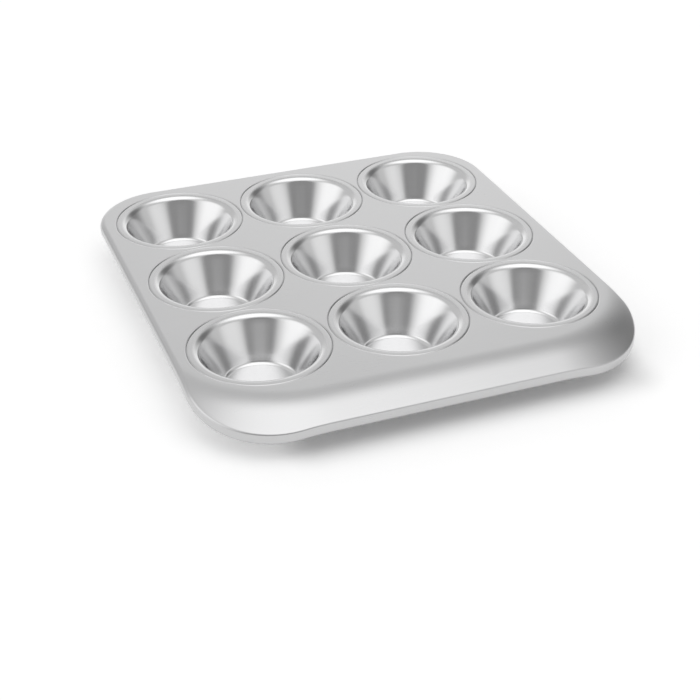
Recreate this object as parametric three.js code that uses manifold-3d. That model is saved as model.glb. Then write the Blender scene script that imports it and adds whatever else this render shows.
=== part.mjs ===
// A muffin pan: a pressed deck with a curved front lip and a wired rim, and drawn cups locked into it.
// Millimetres, +Z up, the front lip towards -Y. The origin lies on the surface that the pan stands on,
// under the middle of its outline.
import * as THREE from "three";
import { mergeVertices } from "three/addons/utils/BufferGeometryUtils.js";
import Module from "manifold-3d";

// The cups, named by row and column
const ROWS = ["front", "middle", "back"];
const COLUMNS = ["left", "centre", "right"];

// One cup
const MOUTH_RADIUS = 37.8; // where the flat flange ends and the mouth starts to round over
const FLANGE_WIDTH = 2.6; // flat flange round the mouth
const MOUTH_ROUNDING = 4.8; // radius of the rounded mouth
const CUP_DEPTH = 25.8; // flange top to floor
const WALL_DRAFT_DEG = 26.5; // lean of the wall from upright
const FLOOR_FILLET = 3.5; // between wall and floor
const CUP_SHEET = 0.8;

// The seats that hold the cups in the deck
const SEAT_CLEARANCE = 0.3; // round the flange and under it
const LOCK_LEAN = 0.9; // how far a seat's wall leans in over the flange to lock it
const SEAT_WEB = 0.8; // metal between two seats at their widest

// The deck
const DECK_SHEET = 0.8;
const DECK_MARGIN = 9.5; // deck outside the outer seats
const BACK_CORNER_RADIUS = 44;
const FRONT_CORNER_RADIUS = 50;
const FLAT_CORNER_RADIUS = 66; // front corners of the flat deck, where the lip starts to fall away
const LIP_REACH = 24.2; // front lip beyond the flat deck
const LIP_BEND_RADIUS = 34;
const LIP_SLOPE_DEG = 27;

// The rim, curled inward round a wire
const SIDE_EDGE_BEND = 2.8; // inside radius of the bend from deck to rim, along the sides and the back
const FRONT_EDGE_BEND = 0.5; // the same along the front lip, which has a crisp edge
const RIM_FLAT = 0.9; // upright face between that bend and the curl, along the sides
const WIRE_RADIUS = 1.2;
const WIRE_CLEARANCE = 0.3;
const WIRE_END_GAP = 2; // between the wire's two ends, at the back
const CURL_DEG = 250;

// Facets
const CUP_FACETS = 28;
const MOUTH_STEPS = 4;
const FILLET_STEPS = 3;
const CORNER_STEPS = 8;
const SIDE_STEPS = 6;
const FRONT_STEPS = 4;
const LIP_STEPS = 5;
const EDGE_STEPS = 3;
const CURL_STEPS = 5;
const WIRE_FACETS = 8;

// Overlaps of solids that are joined, and how far a cutter runs past what it cuts
const JOIN_MARGIN = 0.6;
const JOIN_OVERLAP = 1.5;
const CUT_PAST = 1;

// Worked out from the sizes above
const flangeRadius = MOUTH_RADIUS + FLANGE_WIDTH;
const seatTopRadius = flangeRadius + SEAT_CLEARANCE;
const seatFloorRadius = seatTopRadius + LOCK_LEAN;
const seatDepth = CUP_SHEET + SEAT_CLEARANCE;
const pitch = 2 * seatFloorRadius + SEAT_WEB;
const halfWidth = ((COLUMNS.length - 1) / 2) * pitch + seatTopRadius + DECK_MARGIN;
const halfDepth = ((ROWS.length - 1) / 2) * pitch + seatTopRadius + DECK_MARGIN;
const frontReach = halfDepth + LIP_REACH;
const curlRadius = WIRE_RADIUS + WIRE_CLEARANCE + DECK_SHEET;
const rimHeight = SIDE_EDGE_BEND + DECK_SHEET + RIM_FLAT + curlRadius;
const plateInset = SIDE_EDGE_BEND + DECK_SHEET + JOIN_MARGIN;
const sectionInset = plateInset + JOIN_OVERLAP;
const deckTop = CUP_DEPTH + CUP_SHEET;

const wasm = await Module();
wasm.setup();

const satin = new THREE.MeshStandardMaterial({ color: 0xc6c7c8, roughness: 0.36, metalness: 1 });
const bright = new THREE.MeshStandardMaterial({ color: 0xd2d3d4, roughness: 0.2, metalness: 1 });
const wire = new THREE.MeshStandardMaterial({ color: 0xa6a7a8, roughness: 0.45, metalness: 1 });

// A closed geometry as a solid that can be joined and cut.
function solidOf(geometry) {
  const bare = geometry.clone();
  bare.deleteAttribute("normal");
  bare.deleteAttribute("uv");
  const merged = mergeVertices(bare);
  const vertProperties = merged.getAttribute("position").array;
  const triVerts = new Uint32Array(merged.index.array);
  return new wasm.Manifold(new wasm.Mesh({ numProp: 3, vertProperties, triVerts }));
}

function geometryOf(solid) {
  const { vertProperties, triVerts } = solid.getMesh();
  const geometry = new THREE.BufferGeometry();
  geometry.setAttribute("position", new THREE.BufferAttribute(vertProperties, 3));
  geometry.setIndex(new THREE.BufferAttribute(triVerts, 1));
  geometry.computeVertexNormals();
  return geometry;
}

function namedMesh(name, geometry, material) {
  const mesh = new THREE.Mesh(geometry, material);
  mesh.name = name;
  return mesh;
}

// A profile of (radius, height) points turned about the Z axis.
function turned(profile) {
  const points = profile.map(([radius, height]) => new THREE.Vector2(radius, height));
  return new THREE.LatheGeometry(points, CUP_FACETS).rotateX(Math.PI / 2);
}

// Points of an arc in a profile, with angles measured from straight up towards the outside.
function arcPoints(centreX, centreZ, radius, fromAngle, toAngle, steps) {
  return Array.from({ length: steps + 1 }, (_, i) => {
    const angle = THREE.MathUtils.lerp(fromAngle, toAngle, i / steps);
    return [centreX + radius * Math.sin(angle), centreZ + radius * Math.cos(angle)];
  });
}

// Seat radius at a depth under the deck: its wall leans in towards the top.
function seatRadiusAt(depth) {
  return seatTopRadius + (LOCK_LEAN * depth) / seatDepth;
}

// One face of the cup sheet, from the middle of the floor to the flange, moved out by an offset.
function cupFace(offset) {
  const draft = THREE.MathUtils.degToRad(WALL_DRAFT_DEG);
  const turn = Math.PI / 2 - draft;
  const wallTopRadius = MOUTH_RADIUS - MOUTH_ROUNDING * Math.cos(draft);
  const wallHeight = CUP_DEPTH - (MOUTH_ROUNDING + FLOOR_FILLET) * (1 - Math.sin(draft));
  const wallFootRadius = wallTopRadius - wallHeight * Math.tan(draft);
  const floorRadius = wallFootRadius - FLOOR_FILLET * Math.cos(draft);
  const filletZ = FLOOR_FILLET - CUP_DEPTH;
  const filletRadius = FLOOR_FILLET + offset;
  const fillet = arcPoints(floorRadius, filletZ, filletRadius, Math.PI, Math.PI - turn, FILLET_STEPS);
  const mouth = arcPoints(MOUTH_RADIUS, -MOUTH_ROUNDING, MOUTH_ROUNDING - offset, -turn, 0, MOUTH_STEPS);
  return [[0, -CUP_DEPTH - offset], ...fillet, ...mouth];
}

// Outer face up from the floor, round the flange edge that its seat leans over, and inner face down again.
function cupGeometry() {
  const flangeEdge = [
    [seatRadiusAt(CUP_SHEET) - SEAT_CLEARANCE, -CUP_SHEET],
    [flangeRadius, 0],
  ];
  return turned([...cupFace(CUP_SHEET), ...flangeEdge, ...cupFace(0).reverse()]);
}

function cupPlaces() {
  return ROWS.flatMap((row, j) =>
    COLUMNS.map((column, i) => ({
      name: `cup_${row}_${column}`,
      x: (i - (COLUMNS.length - 1) / 2) * pitch,
      y: (j - (ROWS.length - 1) / 2) * pitch,
    })),
  );
}

// How far the lip has fallen at a point of the plan: nothing on the flat deck, then a bend and a slope.
function lipDrop(x, y) {
  const sideways = Math.max(Math.abs(x) - (halfWidth - FLAT_CORNER_RADIUS), 0);
  const forwards = Math.max(-y - (halfDepth - FLAT_CORNER_RADIUS), 0);
  const distance = Math.max(Math.hypot(sideways, forwards) - FLAT_CORNER_RADIUS, 0);
  const slope = THREE.MathUtils.degToRad(LIP_SLOPE_DEG);
  const bend = Math.min(distance, LIP_BEND_RADIUS * Math.sin(slope));
  const bendDrop = LIP_BEND_RADIUS - Math.sqrt(LIP_BEND_RADIUS ** 2 - bend ** 2);
  return bendDrop + (distance - bend) * Math.tan(slope);
}

// Stations along a corner of the outline, each a point with its outward direction.
function cornerStations(centreX, centreY, radius, fromDeg) {
  return Array.from({ length: CORNER_STEPS + 1 }, (_, i) => {
    const angle = THREE.MathUtils.degToRad(fromDeg + (90 * i) / CORNER_STEPS);
    const out = new THREE.Vector3(Math.cos(angle), Math.sin(angle), 0);
    return { at: new THREE.Vector3(centreX, centreY, 0).addScaledVector(out, radius), out };
  });
}

// Stations along one side, closer together towards the front, where the edge starts to fall.
function sideStations(side) {
  const frontY = FRONT_CORNER_RADIUS - frontReach;
  const backY = halfDepth - BACK_CORNER_RADIUS;
  return Array.from({ length: SIDE_STEPS - 1 }, (_, i) => {
    const y = THREE.MathUtils.lerp(frontY, backY, ((i + 1) / SIDE_STEPS) ** 2);
    return { at: new THREE.Vector3(side * halfWidth, y, 0), out: new THREE.Vector3(side, 0, 0) };
  });
}

function frontStations() {
  const reach = halfWidth - FRONT_CORNER_RADIUS;
  return Array.from({ length: FRONT_STEPS - 1 }, (_, i) => {
    const x = THREE.MathUtils.lerp(-reach, reach, (i + 1) / FRONT_STEPS);
    return { at: new THREE.Vector3(x, -frontReach, 0), out: new THREE.Vector3(0, -1, 0) };
  });
}

// The outline from the back left corner, anticlockwise, to the back right corner.
function outlineStations() {
  const backX = halfWidth - BACK_CORNER_RADIUS;
  const backY = halfDepth - BACK_CORNER_RADIUS;
  const frontX = halfWidth - FRONT_CORNER_RADIUS;
  const frontY = FRONT_CORNER_RADIUS - frontReach;
  return [
    ...cornerStations(-backX, backY, BACK_CORNER_RADIUS, 90),
    ...sideStations(-1).reverse(),
    ...cornerStations(-frontX, frontY, FRONT_CORNER_RADIUS, 180),
    ...frontStations(),
    ...cornerStations(frontX, frontY, FRONT_CORNER_RADIUS, 270),
    ...sideStations(1),
    ...cornerStations(backX, backY, BACK_CORNER_RADIUS, 0),
  ];
}

// The point of the flat deck that the rim's section at a station starts from.
function sectionStart({ at, out }) {
  const coreX = halfWidth - FLAT_CORNER_RADIUS;
  const coreY = halfDepth - FLAT_CORNER_RADIUS;
  if (at.y > -coreY) return at.clone().addScaledVector(out, -sectionInset);
  const core = new THREE.Vector3(THREE.MathUtils.clamp(at.x, -coreX, coreX), -coreY, 0);
  const towards = at.clone().sub(core).normalize();
  return core.addScaledVector(towards, FLAT_CORNER_RADIUS - sectionInset);
}

// A point out from a place along a direction in plan, and up at a height.
function offsetPoint(place, out, reach, height) {
  return place.clone().addScaledVector(out, reach).setZ(height);
}

// Outer radius of the bend from deck to rim: it tightens round the front corners towards the front.
function edgeRadius({ out }) {
  return DECK_SHEET + THREE.MathUtils.lerp(SIDE_EDGE_BEND, FRONT_EDGE_BEND, Math.max(-out.y, 0));
}

// Where the wire runs at a station.
function wireCentre({ at, out }) {
  return offsetPoint(at, out, -curlRadius, curlRadius - rimHeight - lipDrop(at.x, at.y));
}

// Section of lip, rim and curl at a station: along the top, down and round the curl, and back inside.
function rimSection(station) {
  const { at, out } = station;
  const radius = edgeRadius(station);
  const bend = offsetPoint(at, out, -radius, 0);
  const slope = Math.atan((lipDrop(at.x, at.y) - lipDrop(bend.x, bend.y)) / radius);
  const start = sectionStart(station);
  const end = offsetPoint(bend, out, radius * Math.sin(slope), 0);
  bend.z = -lipDrop(end.x, end.y) - radius * Math.cos(slope);
  const curl = wireCentre(station);
  const curlEnd = Math.PI / 2 + THREE.MathUtils.degToRad(CURL_DEG);
  const arc = (centre, arcRadius, fromAngle, toAngle, steps) =>
    arcPoints(0, centre.z, arcRadius, fromAngle, toAngle, steps).map(([reach, z]) =>
      offsetPoint(centre, out, reach, z),
    );
  const face = (offset) => [
    ...deckFace(start, end, offset),
    ...arc(bend, radius - offset, slope, Math.PI / 2, EDGE_STEPS),
    ...arc(curl, curlRadius - offset, Math.PI / 2, curlEnd, CURL_STEPS),
  ];
  return [...face(0), ...face(DECK_SHEET).reverse()];
}

// Points of the deck sheet from the flat deck out to the bend, on its top or at an offset under it.
function deckFace(start, end, offset) {
  return Array.from({ length: LIP_STEPS }, (_, i) => {
    const point = start.clone().lerp(end, i / LIP_STEPS);
    return point.setZ(-lipDrop(point.x, point.y) - offset);
  });
}

function wireSection(station) {
  const centre = wireCentre(station);
  return Array.from({ length: WIRE_FACETS }, (_, i) => {
    const angle = (2 * Math.PI * i) / WIRE_FACETS;
    const height = centre.z + WIRE_RADIUS * Math.cos(angle);
    return offsetPoint(centre, station.out, WIRE_RADIUS * Math.sin(angle), height);
  });
}

// Skin over a row of sections, as a closed ring or with a flat cap at each end.
function loft(sections, isRing) {
  const size = sections[0].length;
  const spans = isRing ? sections.length : sections.length - 1;
  const index = [];
  for (let i = 0; i < spans; i += 1) {
    const here = i * size;
    const next = ((i + 1) % sections.length) * size;
    for (let j = 0; j < size; j += 1) {
      const k = (j + 1) % size;
      index.push(here + j, here + k, next + k, here + j, next + k, next + j);
    }
  }
  if (!isRing) {
    const last = (sections.length - 1) * size;
    for (let j = 1; j < size - 1; j += 1) {
      index.push(0, j + 1, j, last, last + j, last + j + 1);
    }
  }
  const geometry = new THREE.BufferGeometry().setFromPoints(sections.flat());
  return geometry.setIndex(index);
}

// The flat deck, set in a little from where the lip and the rim take over.
function flatPlate() {
  const right = halfWidth - plateInset;
  const back = halfDepth - plateInset;
  const frontRadius = FLAT_CORNER_RADIUS - plateInset;
  const backRadius = BACK_CORNER_RADIUS - plateInset;
  const shape = new THREE.Shape();
  shape.absarc(right - frontRadius, frontRadius - back, frontRadius, -Math.PI / 2, 0);
  shape.absarc(right - backRadius, back - backRadius, backRadius, 0, Math.PI / 2);
  shape.absarc(backRadius - right, back - backRadius, backRadius, Math.PI / 2, Math.PI);
  shape.absarc(frontRadius - right, frontRadius - back, frontRadius, Math.PI, 1.5 * Math.PI);
  const settings = { depth: DECK_SHEET, bevelEnabled: false, curveSegments: CORNER_STEPS };
  return new THREE.ExtrudeGeometry(shape, settings).translate(0, 0, -DECK_SHEET);
}

// The dished metal round a seat, and what the seat and its hole take out of it.
function seatPad() {
  const radius = seatFloorRadius + DECK_SHEET;
  const underside = -seatDepth - DECK_SHEET;
  return turned([[0, underside], [radius, underside], [radius, 0], [0, 0]]);
}

function seatCut() {
  const below = -seatDepth - DECK_SHEET - CUT_PAST;
  return turned([
    [0, below],
    [MOUTH_RADIUS, below],
    [MOUTH_RADIUS, -seatDepth],
    [seatFloorRadius, -seatDepth],
    [seatTopRadius, 0],
    [seatTopRadius, CUT_PAST],
    [0, CUT_PAST],
  ]);
}

function deckGeometry() {
  const pad = solidOf(seatPad());
  const cut = solidOf(seatCut());
  let deck = solidOf(flatPlate()).add(solidOf(loft(outlineStations().map(rimSection), true)));
  for (const { x, y } of cupPlaces()) deck = deck.add(pad.translate([x, y, 0]));
  for (const { x, y } of cupPlaces()) deck = deck.subtract(cut.translate([x, y, 0]));
  return geometryOf(deck);
}

// The wire's two ends meet at the middle of the back.
function wireGeometry() {
  const out = new THREE.Vector3(0, 1, 0);
  const end = (x) => ({ at: new THREE.Vector3(x, halfDepth, 0), out });
  const stations = [end(-WIRE_END_GAP / 2), ...outlineStations(), end(WIRE_END_GAP / 2)];
  return loft(stations.map(wireSection), false);
}

const grid = new THREE.Group();
grid.position.set(0, LIP_REACH / 2, deckTop);
grid.add(namedMesh("deck", deckGeometry(), satin));
grid.add(namedMesh("rim_wire", wireGeometry(), wire));
const cup = cupGeometry();
for (const { name, x, y } of cupPlaces()) {
  const mesh = namedMesh(name, cup, bright);
  mesh.position.set(x, y, 0);
  grid.add(mesh);
}

const pan = new THREE.Group();
pan.add(grid);

export default pan;
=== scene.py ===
import math

import bmesh
import bpy
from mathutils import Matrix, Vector


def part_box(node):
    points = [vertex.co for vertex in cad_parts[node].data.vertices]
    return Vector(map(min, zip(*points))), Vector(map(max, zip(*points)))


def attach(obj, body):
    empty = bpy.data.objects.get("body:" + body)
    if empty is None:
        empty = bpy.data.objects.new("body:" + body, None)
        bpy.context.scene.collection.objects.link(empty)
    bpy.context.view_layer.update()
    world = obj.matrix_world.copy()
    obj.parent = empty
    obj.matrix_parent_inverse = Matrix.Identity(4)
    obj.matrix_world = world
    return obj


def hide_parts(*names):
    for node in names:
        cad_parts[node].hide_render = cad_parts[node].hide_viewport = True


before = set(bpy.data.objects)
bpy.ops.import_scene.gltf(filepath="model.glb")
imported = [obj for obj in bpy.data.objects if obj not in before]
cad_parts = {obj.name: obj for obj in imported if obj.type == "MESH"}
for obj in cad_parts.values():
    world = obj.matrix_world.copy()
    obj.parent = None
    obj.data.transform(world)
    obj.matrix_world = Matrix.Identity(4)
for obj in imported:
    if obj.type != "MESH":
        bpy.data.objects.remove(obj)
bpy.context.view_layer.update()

# Sizes are in metres.
# One cup
MOUTH_RADIUS = 0.0378  # where the flat flange ends and the mouth rounds over
MOUTH_ROUNDING = 0.0048
CUP_DEPTH = 0.0258
WALL_DRAFT = math.radians(26.5)
FLOOR_FILLET = 0.0035
CUP_SHEET = 0.0008
FLANGE_RADIUS = 0.04075  # outer edge of the flange
FLANGE_ROUNDING = 0.0012
FLOOR_POLE = 0.004  # small disc that closes the floor

# The seats of the cups in the deck
SEAT_GAP = 0.00008  # between a flange and its seat
SEAT_ROUNDING = 0.001  # the deck's edge at the seam
SEAT_STRIP = 0.0001  # flat strip round that edge
SEAM_LEAN = math.radians(58)  # how steep both edges get before they drop straight into the seam
SEAT_DEPTH = 0.0011
SEAT_LEDGE_RADIUS = 0.038  # hole that the cup hangs through

# The deck, its lip and its rim
DECK_SHEET = 0.0008
BACK_CORNER_RADIUS = 0.044
FRONT_CORNER_RADIUS = 0.05
FLAT_CORNER_RADIUS = 0.066  # front corners of the flat deck, where the lip starts to fall away
LIP_REACH = 0.0242
LIP_BEND_RADIUS = 0.034
LIP_SLOPE = math.radians(27)
SIDE_EDGE_RADIUS = 0.0036  # bend from deck to rim along the sides and the back
FRONT_EDGE_RADIUS = 0.0013  # the crisp bend along the front
RIM_HEIGHT = 0.0068
CURL_RADIUS = 0.0023
CURL_TURN = math.radians(250)
SIDE_OVERLAP = 0.0021  # flat deck inside the bend that belongs to the rim's sections
FRONT_OVERLAP = 0.0008  # the same inside the front lip, clear of the corner seats
OVERLAP_FALL = 10  # how fast the sections' start goes from the one to the other round a front corner

# The finishes, with patterns in cells to a metre
METAL_TINT = 1.005  # how much more blue than red bare metal gives back
CLOUD_SCALE = 16
GRAIN_STRETCH = (90, 2600, 2600)  # rolling lines run along X
HAIRLINE_STRETCH = (14, 420, 420)
HAIRLINE_TURN = (0, 0, math.radians(24))
HAIRLINE_WIDTH = 0.02
HAIRLINE_BREAKS = 30
NOISE_RANGE = (0.3, 0.7)  # where nearly all of the noise lies
RING_SCALE = 1500
STREAK_SCALE = 7
STREAK_LIFT = 6  # how fast the streaks change up the wall
DECK_TONES = (0.66, 0.7)
DECK_ROUGHNESS = (0.27, 0.33)
DECK_HAIRLINE_SHINE = 0.03
DECK_GRAIN_DEPTH = 0.000004
RIM_PAINTED_SHADE = 0.09  # painted shade: how much tone the turned-down rim loses, which dims its reflection of the bright floor
FLANGE_TONE = 0.68
FLANGE_ROUGHNESS = 0.3
CUP_TONES = (0.78, 0.82)
CUP_ROUGHNESS = (0.14, 0.19)
CUP_RING_DEPTH = 0.000002
WIRE_TONES = (0.45, 0.55)
WIRE_ROUGHNESS = (0.36, 0.46)
WIRE_GRAIN_DEPTH = 0.00001

# The studio: each panel has a bearing and a rise, the angles from its middle where its core and its soft
# edge end, all in degrees, and a strength. A flag takes light away.
ROOM_LIGHT = 0.62
STUDIO_PANELS = {
    "overhead_box": (150, 84, 10, 38, 0.74),
    "left_box": (274, 22, 6, 40, 0.55),
    "right_box": (142, 12, 6, 28, 0.27),
    "back_wall": (30, -6, 28, 48, 0.4),
    "front_wall": (198, -12, 6, 42, 0.54),
    "front_flag": (199, 23, 22, 36, -0.33),
    "right_flag": (68, 22, 9, 37, -0.44),
}
FLOOR_SIZE = 8.0
FLOOR_TONE = 0.9
FLOOR_GLOW = (0.1, 0.32)  # what the floor adds to its own light: little inside the painted shadow round the pan, more outside it
# Painted shadow: a box round the pan, set off to the right, where the floor's glow stays low, and how far
# out the glow takes to rise
PAINTED_SHADOW_CENTRE = (0.02, -0.01, 0)
PAINTED_SHADOW_HALF_SIZE = (0.095, 0.128, 0)
PAINTED_SHADOW_EDGE = 0.025

# How finely the meshes are divided, and how they are closed
CUP_SEGMENTS = 128
ARC_STEPS = 10
WALL_STEPS = 8
FLOOR_STEPS = 4
EDGE_STEPS = 5
CORNER_STEPS = 28
SIDE_STEPS = 40
END_STEPS = 36
LIP_STEPS = 16
CURL_STEPS = 18
SAME_PLACE = 1e-6  # points nearer than this are one point
SHARP_ANGLE = math.radians(35)

# Places, from the frame
deck_low, deck_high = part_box("deck")
half_width = deck_high.x
front_y = deck_low.y
back_y = deck_high.y
deck_top = deck_high.z
flat_front_y = front_y + LIP_REACH
core_x = half_width - FLAT_CORNER_RADIUS
core_y = flat_front_y + FLAT_CORNER_RADIUS

# The photograph's camera
CAMERA_PLACE = (-0.2775, -0.7123, 0.4353)
CAMERA_TARGET = (-0.0387, -0.0943, 0.0266)
CAMERA_LENS = 72.32
SENSOR_WIDTH = 36.0


def arc(centre_x, centre_z, radius, from_angle, to_angle, steps):
    """Points of an arc in a section, with angles measured from straight up towards the outside."""
    points = []
    for step in range(steps + 1):
        angle = from_angle + (to_angle - from_angle) * step / steps
        points.append((centre_x + radius * math.sin(angle), centre_z + radius * math.cos(angle)))
    return points


def between(start, end, steps):
    """Points from start towards end, both left out."""
    shares = [step / steps for step in range(1, steps)]
    return [tuple(a + (b - a) * share for a, b in zip(start, end)) for share in shares]


# Cups

def cup_face(offset):
    """One face of a cup's sheet from floor to flange, as (radius, height) points under the deck's top."""
    turn = math.pi / 2 - WALL_DRAFT
    wall_top_radius = MOUTH_RADIUS - MOUTH_ROUNDING * math.cos(WALL_DRAFT)
    wall_height = CUP_DEPTH - (MOUTH_ROUNDING + FLOOR_FILLET) * (1 - math.sin(WALL_DRAFT))
    wall_foot_radius = wall_top_radius - wall_height * math.tan(WALL_DRAFT)
    floor_radius = wall_foot_radius - FLOOR_FILLET * math.cos(WALL_DRAFT)
    fillet = arc(
        floor_radius, FLOOR_FILLET - CUP_DEPTH, FLOOR_FILLET + offset, math.pi, math.pi - turn, ARC_STEPS
    )
    mouth = arc(MOUTH_RADIUS, -MOUTH_ROUNDING, MOUTH_ROUNDING - offset, -turn, 0, ARC_STEPS)
    pole = (FLOOR_POLE, -CUP_DEPTH - offset)
    floor = between(pole, fillet[0], FLOOR_STEPS)
    wall = between(fillet[-1], mouth[0], WALL_STEPS)
    return [pole, *floor, *fillet, *wall, *mouth]


def cup_section():
    """The whole section of a cup: up its inner face, round the flange's edge, and down its outer face."""
    edge_centre = FLANGE_RADIUS - FLANGE_ROUNDING * math.sin(SEAM_LEAN)
    edge = arc(edge_centre, -FLANGE_ROUNDING, FLANGE_ROUNDING, 0, SEAM_LEAN, EDGE_STEPS)
    inner = cup_face(0)
    outer = cup_face(CUP_SHEET)
    flange_top = between(inner[-1], edge[0], FLOOR_STEPS)
    flange_foot = (FLANGE_RADIUS, -CUP_SHEET)
    return [*inner, *flange_top, *edge, flange_foot, *reversed(outer)]


def extrude_circle(section, centre):
    """Extrudes the selected circle through a section's (radius, height) points, one ring at a time."""
    for (radius, height), (next_radius, next_height) in zip(section, section[1:]):
        grow = next_radius / radius
        bpy.ops.mesh.extrude_edges_move()
        bpy.ops.transform.resize(value=(grow, grow, 1), center_override=(centre.x, centre.y, 0))
        bpy.ops.transform.translate(value=(0, 0, next_height - height))


def close_piece():
    """Merges doubles, turns faces outwards and leaves edit mode with smooth faces and sharp corners."""
    bpy.ops.mesh.select_all(action="SELECT")
    bpy.ops.mesh.remove_doubles(threshold=SAME_PLACE)
    bpy.ops.mesh.normals_make_consistent(inside=False)
    bpy.ops.object.mode_set(mode="OBJECT")
    bpy.ops.object.shade_smooth_by_angle(angle=SHARP_ANGLE)


def select_open_edges(piece, height):
    """Selects the open edges of a piece at a height."""
    bpy.ops.mesh.select_all(action="DESELECT")
    mesh = bmesh.from_edit_mesh(piece.data)
    for edge in mesh.edges:
        at_height = all(abs(vert.co.z - height) < SAME_PLACE for vert in edge.verts)
        if at_height and len(edge.link_faces) < 2:
            edge.select_set(True)
    bmesh.update_edit_mesh(piece.data)


def model_cup():
    """One cup round the Z axis, with the top of its flange at the deck's height."""
    section = cup_section()
    radius, height = section[0]
    bpy.ops.object.select_all(action="DESELECT")
    bpy.ops.mesh.primitive_circle_add(vertices=CUP_SEGMENTS, radius=radius, fill_type="NOTHING")
    cup = bpy.context.object
    bpy.ops.object.mode_set(mode="EDIT")
    bpy.ops.transform.translate(value=(0, 0, deck_top + height))
    extrude_circle(section, Vector())
    bpy.ops.mesh.edge_face_add()
    select_open_edges(cup, deck_top + height)
    bpy.ops.mesh.edge_face_add()
    close_piece()
    return cup


def keep_draw_place(cup):
    """Keeps each point's place round the cup's own axis, which the draw marks follow on every copy."""
    place = cup.data.attributes.new("draw_place", "FLOAT_VECTOR", "POINT")
    for vert, kept in zip(cup.data.vertices, place.data):
        kept.vector = vert.co


def copy_cup(cup, centre):
    """A copy of the cup at a centre in plan, with its own mesh and its place in that mesh."""
    bpy.ops.object.select_all(action="DESELECT")
    cup.select_set(True)
    bpy.context.view_layer.objects.active = cup
    bpy.ops.object.duplicate()
    bpy.ops.transform.translate(value=(centre.x, centre.y, 0))
    bpy.ops.object.transform_apply(location=True, rotation=False, scale=False)
    return bpy.context.object


# Deck

def lip_drop(x, y):
    """How far the deck has fallen at a point in plan: nothing on the flat, then a bend and a slope."""
    sideways = max(abs(x) - core_x, 0)
    forwards = max(core_y - y, 0)
    distance = max(math.hypot(sideways, forwards) - FLAT_CORNER_RADIUS, 0)
    bend = min(distance, LIP_BEND_RADIUS * math.sin(LIP_SLOPE))
    bend_drop = LIP_BEND_RADIUS - math.sqrt(LIP_BEND_RADIUS**2 - bend**2)
    return bend_drop + (distance - bend) * math.tan(LIP_SLOPE)


def corner_stations(centre_x, centre_y, radius, from_angle):
    """Stations round a corner of the outline, each a point with its outward direction."""
    stations = []
    for step in range(CORNER_STEPS + 1):
        angle = from_angle + math.pi / 2 * step / CORNER_STEPS
        out = Vector((math.cos(angle), math.sin(angle), 0))
        stations.append((Vector((centre_x, centre_y, 0)) + out * radius, out))
    return stations


def straight_stations(start, end, steps):
    """Stations between the ends of two corners, along a straight stretch of the outline."""
    out = start[1]
    return [(Vector(point), out) for point in between(start[0], end[0], steps)]


def outline_stations():
    """The outline, anticlockwise from the back left corner."""
    back_x = half_width - BACK_CORNER_RADIUS
    front_x = half_width - FRONT_CORNER_RADIUS
    back_centre_y = back_y - BACK_CORNER_RADIUS
    front_centre_y = front_y + FRONT_CORNER_RADIUS
    back_left = corner_stations(-back_x, back_centre_y, BACK_CORNER_RADIUS, math.pi / 2)
    front_left = corner_stations(-front_x, front_centre_y, FRONT_CORNER_RADIUS, math.pi)
    front_right = corner_stations(front_x, front_centre_y, FRONT_CORNER_RADIUS, 1.5 * math.pi)
    back_right = corner_stations(back_x, back_centre_y, BACK_CORNER_RADIUS, 0)
    return [
        *back_left,
        *straight_stations(back_left[-1], front_left[0], SIDE_STEPS),
        *front_left,
        *straight_stations(front_left[-1], front_right[0], END_STEPS),
        *front_right,
        *straight_stations(front_right[-1], back_right[0], SIDE_STEPS),
        *back_right,
        *straight_stations(back_right[-1], back_left[0], END_STEPS),
    ]


def section_start(at, out):
    """The point of the flat deck that the rim's section at a station starts from."""
    side_inset = SIDE_EDGE_RADIUS + SIDE_OVERLAP
    if at.y > core_y:
        return at - out * side_inset
    core = Vector((max(-core_x, min(core_x, at.x)), core_y, 0))
    away = (at - core).normalized()
    inset = FRONT_OVERLAP + (side_inset - FRONT_OVERLAP) * abs(away.x) ** OVERLAP_FALL
    return core + away * (FLAT_CORNER_RADIUS - inset)


def deck_face(start, end, offset):
    """Points of the deck's sheet from the flat out to the bend, on its top or at an offset under it."""
    points = []
    for step in range(LIP_STEPS):
        point = start.lerp(end, step / LIP_STEPS)
        point.z = deck_top - lip_drop(point.x, point.y) - offset
        points.append(point)
    return points


def rim_section(station):
    """Section at a station: the deck's top, over the edge, round the curl, and back along the inside."""
    at, out = station
    radius = SIDE_EDGE_RADIUS + (FRONT_EDGE_RADIUS - SIDE_EDGE_RADIUS) * max(-out.y, 0)
    bend = at - out * radius
    slope = math.atan((lip_drop(at.x, at.y) - lip_drop(bend.x, bend.y)) / radius)
    start = section_start(at, out)
    end = bend + out * (radius * math.sin(slope))
    bend.z = deck_top - lip_drop(end.x, end.y) - radius * math.cos(slope)
    curl = at - out * CURL_RADIUS
    curl.z = deck_top - lip_drop(at.x, at.y) - RIM_HEIGHT + CURL_RADIUS

    def round_points(centre, arc_radius, from_angle, to_angle, steps):
        turned = arc(0, centre.z, arc_radius, from_angle, to_angle, steps)
        return [Vector((centre.x + out.x * reach, centre.y + out.y * reach, z)) for reach, z in turned]

    def face(offset):
        return [
            *deck_face(start, end, offset),
            *round_points(bend, radius - offset, slope, math.pi / 2, ARC_STEPS),
            *round_points(curl, CURL_RADIUS - offset, math.pi / 2, math.pi / 2 + CURL_TURN, CURL_STEPS),
        ]

    return [*face(0), *reversed(face(DECK_SHEET))]


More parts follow.
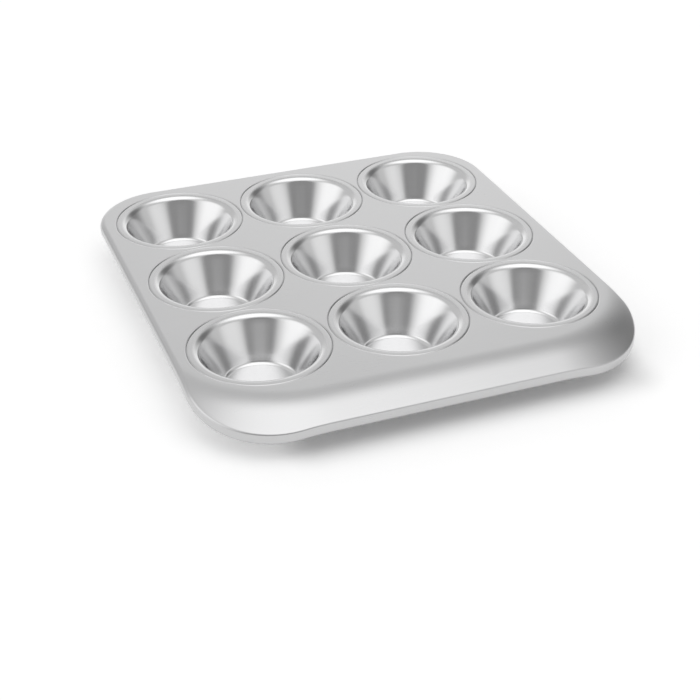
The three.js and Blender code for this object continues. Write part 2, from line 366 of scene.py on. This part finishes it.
def seat_section():
    """Section of a seat: the deck's edge at the seam, the seat's wall and ledge, and back under them."""
    wall_radius = FLANGE_RADIUS + SEAT_GAP
    edge_radius = wall_radius + SEAT_ROUNDING * math.sin(SEAM_LEAN)
    edge = arc(edge_radius, -SEAT_ROUNDING, SEAT_ROUNDING, 0, -SEAM_LEAN, EDGE_STEPS)
    ledge_under = -SEAT_DEPTH - DECK_SHEET
    dish_radius = wall_radius + DECK_SHEET
    return [
        (edge_radius + SEAT_STRIP, 0),
        *edge,
        (wall_radius, -SEAT_DEPTH),
        (SEAT_LEDGE_RADIUS, -SEAT_DEPTH),
        (SEAT_LEDGE_RADIUS, ledge_under),
        (dish_radius, ledge_under),
        (dish_radius, -DECK_SHEET),
    ]


def extrude_rim(sections):
    """Turns the selected circle into the outline's inner ring and extrudes the rim's sections from it."""
    rings = list(zip(*sections))
    first_turned = LIP_STEPS + ARC_STEPS // 2
    deck = bpy.context.edit_object
    mesh = bmesh.from_edit_mesh(deck.data)
    mesh.verts.layers.float.new("turned_down")
    station = mesh.verts.layers.int.new("station")
    for index, vert in enumerate(mesh.verts):
        vert[station] = index
        vert.co = rings[0][index]
    for step, ring in enumerate(rings[1:], 1):
        bpy.ops.mesh.extrude_edges_move()
        mesh = bmesh.from_edit_mesh(deck.data)
        station = mesh.verts.layers.int["station"]
        turned = mesh.verts.layers.float["turned_down"]
        is_turned = first_turned <= step < len(rings) - first_turned
        for vert in mesh.verts:
            if vert.select:
                vert.co = ring[vert[station]]
                vert[turned] = is_turned
    mesh.verts.layers.int.remove(station)
    bmesh.update_edit_mesh(deck.data)


def model_deck(seat_centres):
    """The deck as one closed sheet: the rim first, then the seats, then the flat on both sides."""
    sections = [rim_section(station) for station in outline_stations()]
    bpy.ops.object.select_all(action="DESELECT")
    bpy.ops.mesh.primitive_circle_add(vertices=len(sections), radius=half_width, fill_type="NOTHING")
    deck = bpy.context.object
    deck.name = "pressed_deck"
    bpy.ops.object.mode_set(mode="EDIT")
    extrude_rim(sections)
    seat = seat_section()
    for centre in seat_centres:
        bpy.ops.mesh.select_all(action="DESELECT")
        bpy.ops.mesh.primitive_circle_add(
            vertices=CUP_SEGMENTS,
            radius=seat[0][0],
            fill_type="NOTHING",
            location=(centre.x, centre.y, deck_top),
        )
        extrude_circle(seat, centre)
    for height in (deck_top, deck_top - DECK_SHEET):
        select_open_edges(deck, height)
        bpy.ops.mesh.fill(use_beauty=True)
    close_piece()
    return deck


# Nodes

def put(tree, kind, inputs=None, **settings):
    """Adds a node, sets its settings, and sets or links its inputs by their names or numbers."""
    node = tree.nodes.new(kind)
    for name, value in settings.items():
        setattr(node, name, value)
    for socket, value in (inputs or {}).items():
        if isinstance(value, bpy.types.NodeSocket):
            tree.links.new(value, node.inputs[socket])
        else:
            node.inputs[socket].default_value = value
    return node


def calculate(tree, operation, first, second):
    """A Math node's result."""
    return put(tree, "ShaderNodeMath", {0: first, 1: second}, operation=operation).outputs[0]


def average(tree, first, second):
    """The mean of two values."""
    return calculate(tree, "MULTIPLY", calculate(tree, "ADD", first, second), 0.5)


def spread(tree, value, low, high):
    """A value between 0 and 1 spread from low to high."""
    return put(tree, "ShaderNodeMapRange", {"Value": value, "To Min": low, "To Max": high}).outputs[0]


def noise(tree, place, scale, detail=2.0, roughness=0.5):
    """Noise between 0 and 1 at a place, in cells to a metre, stretched so that it fills that range."""
    inputs = {"Vector": place, "Scale": scale, "Detail": detail, "Roughness": roughness}
    raw = put(tree, "ShaderNodeTexNoise", inputs).outputs["Fac"]
    low, high = NOISE_RANGE
    return put(tree, "ShaderNodeMapRange", {"Value": raw, "From Min": low, "From Max": high}).outputs[0]


def stretch(tree, place, scale):
    """A place stretched along its axes."""
    return put(tree, "ShaderNodeVectorMath", {0: place, 1: scale}, operation="MULTIPLY").outputs[0]


def grey_blend(tree, share, dark, light):
    """A colour between two tones of bare metal, which is a touch blue."""
    ramp = put(tree, "ShaderNodeValToRGB", {"Fac": share})
    for stop, tone in zip(ramp.color_ramp.elements, (dark, light)):
        stop.color = (tone, tone, tone * METAL_TINT, 1)
    return ramp.outputs["Color"]


def new_group(name, outputs):
    """A node group that reads a place and gives values, with its place socket and its output node."""
    group = bpy.data.node_groups.new(name, "ShaderNodeTree")
    group.interface.new_socket("Place", in_out="INPUT", socket_type="NodeSocketVector")
    for output in outputs:
        group.interface.new_socket(output, in_out="OUTPUT", socket_type="NodeSocketFloat")
    place = group.nodes.new("NodeGroupInput").outputs["Place"]
    return group, place, group.nodes.new("NodeGroupOutput")


def sheet_finish():
    """What all the sheet metal shows: cloudy patches, fine rolling lines and stray hairlines."""
    group, place, result = new_group("sheet_finish", ["Clouds", "Grain", "Hairlines"])
    clouds = noise(group, place, CLOUD_SCALE, detail=3)
    grain = noise(group, stretch(group, place, GRAIN_STRETCH), 1, detail=3, roughness=0.6)
    drift = put(group, "ShaderNodeMapping", {"Vector": place, "Rotation": HAIRLINE_TURN}).outputs[0]
    veins = noise(group, stretch(group, drift, HAIRLINE_STRETCH), 1, detail=0)
    off_vein = calculate(group, "ABSOLUTE", calculate(group, "SUBTRACT", veins, 0.5), 0)
    lines = put(
        group,
        "ShaderNodeMapRange",
        {"Value": off_vein, "From Max": HAIRLINE_WIDTH, "To Min": 1, "To Max": 0},
        interpolation_type="SMOOTHSTEP",
    ).outputs[0]
    breaks = noise(group, place, HAIRLINE_BREAKS)
    hairlines = calculate(group, "MULTIPLY", lines, breaks)
    for socket, value in zip(result.inputs, (clouds, grain, hairlines)):
        group.links.new(value, socket)
    return group


def draw_marks():
    """What the press leaves on a cup: rings round its axis, streaks up its wall, a burnished inside."""
    group, place, result = new_group("draw_marks", ["Rings", "Streaks", "Burnish"])
    parts = put(group, "ShaderNodeSeparateXYZ", {"Vector": place}).outputs
    flat = put(group, "ShaderNodeCombineXYZ", {"X": parts["X"], "Y": parts["Y"]}).outputs[0]
    radius = put(group, "ShaderNodeVectorMath", {0: flat}, operation="LENGTH").outputs["Value"]
    along = calculate(group, "SUBTRACT", radius, parts["Z"])
    ring_place = put(group, "ShaderNodeCombineXYZ", {"X": along}).outputs[0]
    rings = noise(group, ring_place, RING_SCALE, detail=3, roughness=0.7)
    spoke = put(group, "ShaderNodeVectorMath", {0: flat}, operation="NORMALIZE").outputs[0]
    height = calculate(group, "MULTIPLY", along, STREAK_LIFT)
    lift = put(group, "ShaderNodeCombineXYZ", {"Z": height}).outputs[0]
    streak_place = put(group, "ShaderNodeVectorMath", {0: spoke, 1: lift}, operation="ADD").outputs[0]
    streaks = noise(group, streak_place, STREAK_SCALE, detail=3)
    burnish = put(
        group,
        "ShaderNodeMapRange",
        {"Value": radius, "From Min": MOUTH_RADIUS, "From Max": MOUTH_RADIUS - MOUTH_ROUNDING / 2},
        interpolation_type="SMOOTHSTEP",
    ).outputs[0]
    for socket, value in zip(result.inputs, (rings, streaks, burnish)):
        group.links.new(value, socket)
    return group


# Materials

def bare_metal(name):
    """A metal material, with its tree and its shader."""
    material = bpy.data.materials.new(name)
    material.use_nodes = True
    shader = material.node_tree.nodes["Principled BSDF"]
    shader.inputs["Metallic"].default_value = 1
    return material, material.node_tree, shader


def finish_metal(tree, shader, colour, roughness, height, depth):
    """Links the colour, the roughness and a bump of a depth to the shader."""
    bump = put(tree, "ShaderNodeBump", {"Strength": 1, "Distance": depth, "Height": height})
    tree.links.new(colour, shader.inputs["Base Color"])
    tree.links.new(roughness, shader.inputs["Roughness"])
    tree.links.new(bump.outputs["Normal"], shader.inputs["Normal"])


def satin_deck(finish):
    """Satin sheet: soft, with faint cloudy patches, rolling lines along X, and painted shade that darkens
    the turned-down rim.
    """
    material, tree, shader = bare_metal("satin_deck")
    place = put(tree, "ShaderNodeTexCoord").outputs["Object"]
    marks = put(tree, "ShaderNodeGroup", {"Place": place}, node_tree=finish).outputs
    polish = average(tree, marks["Clouds"], marks["Grain"])
    turned = put(tree, "ShaderNodeAttribute", attribute_name="turned_down").outputs["Fac"]
    # Painted shade: the turned-down rim is made darker in colour, as if less light reached it
    painted_rim_shade = calculate(tree, "MULTIPLY", turned, RIM_PAINTED_SHADE)
    tone = calculate(tree, "SUBTRACT", spread(tree, polish, *DECK_TONES), painted_rim_shade)
    colour = grey_blend(tree, tone, 0, 1)
    scratched = calculate(tree, "MULTIPLY", marks["Hairlines"], DECK_HAIRLINE_SHINE)
    roughness = calculate(tree, "SUBTRACT", spread(tree, polish, *DECK_ROUGHNESS), scratched)
    finish_metal(tree, shader, colour, roughness, marks["Grain"], DECK_GRAIN_DEPTH)
    return material


def bright_cup(finish, drawn):
    """Bright drawn sheet: glossier than the deck, with draw rings and streaks, and a satin flange."""
    material, tree, shader = bare_metal("bright_cup")
    place = put(tree, "ShaderNodeAttribute", attribute_name="draw_place").outputs["Vector"]
    marks = put(tree, "ShaderNodeGroup", {"Place": place}, node_tree=drawn).outputs
    own_place = put(tree, "ShaderNodeTexCoord").outputs["Object"]
    patches = put(tree, "ShaderNodeGroup", {"Place": own_place}, node_tree=finish).outputs
    polish = average(tree, marks["Streaks"], patches["Clouds"])
    burnish = marks["Burnish"]
    tone = spread(tree, burnish, FLANGE_TONE, spread(tree, polish, *CUP_TONES))
    colour = grey_blend(tree, tone, 0, 1)
    worked = calculate(tree, "MULTIPLY", marks["Rings"], marks["Streaks"])
    roughness = spread(tree, burnish, FLANGE_ROUGHNESS, spread(tree, worked, *CUP_ROUGHNESS))
    finish_metal(tree, shader, colour, roughness, marks["Rings"], CUP_RING_DEPTH)
    return material


def dull_wire(finish):
    """Dull drawn wire, with fine grain and cloudy scale."""
    material, tree, shader = bare_metal("dull_wire")
    place = put(tree, "ShaderNodeTexCoord").outputs["Object"]
    marks = put(tree, "ShaderNodeGroup", {"Place": place}, node_tree=finish).outputs
    colour = grey_blend(tree, marks["Clouds"], *WIRE_TONES)
    roughness = spread(tree, marks["Grain"], *WIRE_ROUGHNESS)
    finish_metal(tree, shader, colour, roughness, marks["Grain"], WIRE_GRAIN_DEPTH)
    return material


# Studio

def toward(bearing, rise):
    """The direction at a bearing, clockwise from straight behind the pan, and a rise above the floor."""
    flat = math.cos(math.radians(rise))
    turn = math.radians(bearing)
    return flat * math.sin(turn), flat * math.cos(turn), math.sin(math.radians(rise))


def studio_world():
    """A dim room with broad soft panels of light. The camera itself sees white beyond the floor."""
    world = bpy.data.worlds.new("studio")
    bpy.context.scene.world = world
    world.use_nodes = True
    tree = world.node_tree
    studio = tree.nodes["Background"]
    direction = put(tree, "ShaderNodeTexCoord").outputs["Generated"]
    light = ROOM_LIGHT
    for bearing, rise, core, edge, strength in STUDIO_PANELS.values():
        middle = toward(bearing, rise)
        facing = put(tree, "ShaderNodeVectorMath", {0: direction, 1: middle}, operation="DOT_PRODUCT")
        panel = put(
            tree,
            "ShaderNodeMapRange",
            {
                "Value": facing.outputs["Value"],
                "From Min": math.cos(math.radians(edge)),
                "From Max": math.cos(math.radians(core)),
                "To Max": strength,
            },
            interpolation_type="SMOOTHSTEP",
        )
        light = calculate(tree, "ADD", panel.outputs[0], light)
    light = calculate(tree, "MAXIMUM", light, 0)
    tree.links.new(light, studio.inputs["Color"])
    white = put(tree, "ShaderNodeBackground", {"Color": (1, 1, 1, 1)})
    seen = put(tree, "ShaderNodeLightPath").outputs["Is Camera Ray"]
    shown = put(tree, "ShaderNodeMixShader", {0: seen, 1: studio.outputs[0], 2: white.outputs[0]})
    tree.links.new(shown.outputs[0], tree.nodes["World Output"].inputs["Surface"])


def painted_shadow_glow(tree):
    """The floor's glow, with a painted shadow: little in a box round the pan, which darkens the floor
    there, and more outside it, where the floor shows white.
    """
    away = put(tree, "ShaderNodeTexCoord").outputs["Object"]
    for operation, by in (
        ("SUBTRACT", PAINTED_SHADOW_CENTRE),
        ("ABSOLUTE", (0, 0, 0)),
        ("SUBTRACT", PAINTED_SHADOW_HALF_SIZE),
        ("MAXIMUM", (0, 0, 0)),
    ):
        away = put(tree, "ShaderNodeVectorMath", {0: away, 1: by}, operation=operation).outputs[0]
    distance = put(tree, "ShaderNodeVectorMath", {0: away}, operation="LENGTH").outputs["Value"]
    low, high = FLOOR_GLOW
    inputs = {"Value": distance, "From Max": PAINTED_SHADOW_EDGE, "To Min": low, "To Max": high}
    return put(tree, "ShaderNodeMapRange", inputs, interpolation_type="SMOOTHSTEP").outputs[0]


def pale_floor():
    """White to the camera and in the metal, with the pan's cast shadow deepened by a painted shadow, and
    open to a view from below.
    """
    material = bpy.data.materials.new("pale_floor")
    material.use_nodes = True
    tree = material.node_tree
    shader = tree.nodes["Principled BSDF"]
    shader.inputs["Base Color"].default_value = (FLOOR_TONE, FLOOR_TONE, FLOOR_TONE, 1)
    shader.inputs["Roughness"].default_value = 1
    shader.inputs["Specular IOR Level"].default_value = 0
    shader.inputs["Emission Color"].default_value = (1, 1, 1, 1)
    path = put(tree, "ShaderNodeLightPath").outputs
    seen = calculate(tree, "ADD", path["Is Camera Ray"], path["Is Glossy Ray"])
    seen = calculate(tree, "ADD", seen, path["Is Transmission Ray"])
    glow = calculate(tree, "MULTIPLY", seen, painted_shadow_glow(tree))
    tree.links.new(glow, shader.inputs["Emission Strength"])
    below = put(tree, "ShaderNodeNewGeometry").outputs["Backfacing"]
    clear = put(tree, "ShaderNodeBsdfTransparent")
    surface = put(tree, "ShaderNodeMixShader", {0: below, 1: shader.outputs[0], 2: clear.outputs[0]})
    tree.links.new(surface.outputs[0], tree.nodes["Material Output"].inputs["Surface"])
    return material


def studio_floor():
    """A plain floor under the pan, much larger than it."""
    bpy.ops.object.select_all(action="DESELECT")
    bpy.ops.mesh.primitive_plane_add(size=FLOOR_SIZE)
    floor = bpy.context.object
    floor.name = "studio_floor"
    floor.data.materials.append(pale_floor())


def photo_camera():
    """The camera that the photograph was taken with."""
    camera = bpy.data.objects.new("photo_camera", bpy.data.cameras.new("photo_camera"))
    bpy.context.scene.collection.objects.link(camera)
    camera.location = CAMERA_PLACE
    look = Vector(CAMERA_TARGET) - Vector(CAMERA_PLACE)
    camera.rotation_euler = look.to_track_quat("-Z", "Y").to_euler()
    camera.data.lens = CAMERA_LENS
    camera.data.sensor_width = SENSOR_WIDTH
    bpy.context.scene.camera = camera


cup_nodes = sorted(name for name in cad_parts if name.startswith("cup_"))
cup_centres = {name: sum(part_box(name), Vector()) / 2 for name in cup_nodes}

photo_camera()
studio_world()
studio_floor()

finish = sheet_finish()
deck = model_deck(cup_centres.values())
deck.data.materials.append(satin_deck(finish))
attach(deck, "root")
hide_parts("deck")

first_cup = model_cup()
keep_draw_place(first_cup)
first_cup.data.materials.append(bright_cup(finish, draw_marks()))
for name in cup_nodes:
    cup = copy_cup(first_cup, cup_centres[name])
    cup.name = name.replace("cup_", "drawn_cup_")
    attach(cup, "root")
    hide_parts(name)
bpy.data.objects.remove(first_cup)

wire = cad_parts["rim_wire"]
wire.data.materials.clear()
wire.data.materials.append(dull_wire(finish))

bpy.context.scene.view_settings.view_transform = "Standard"
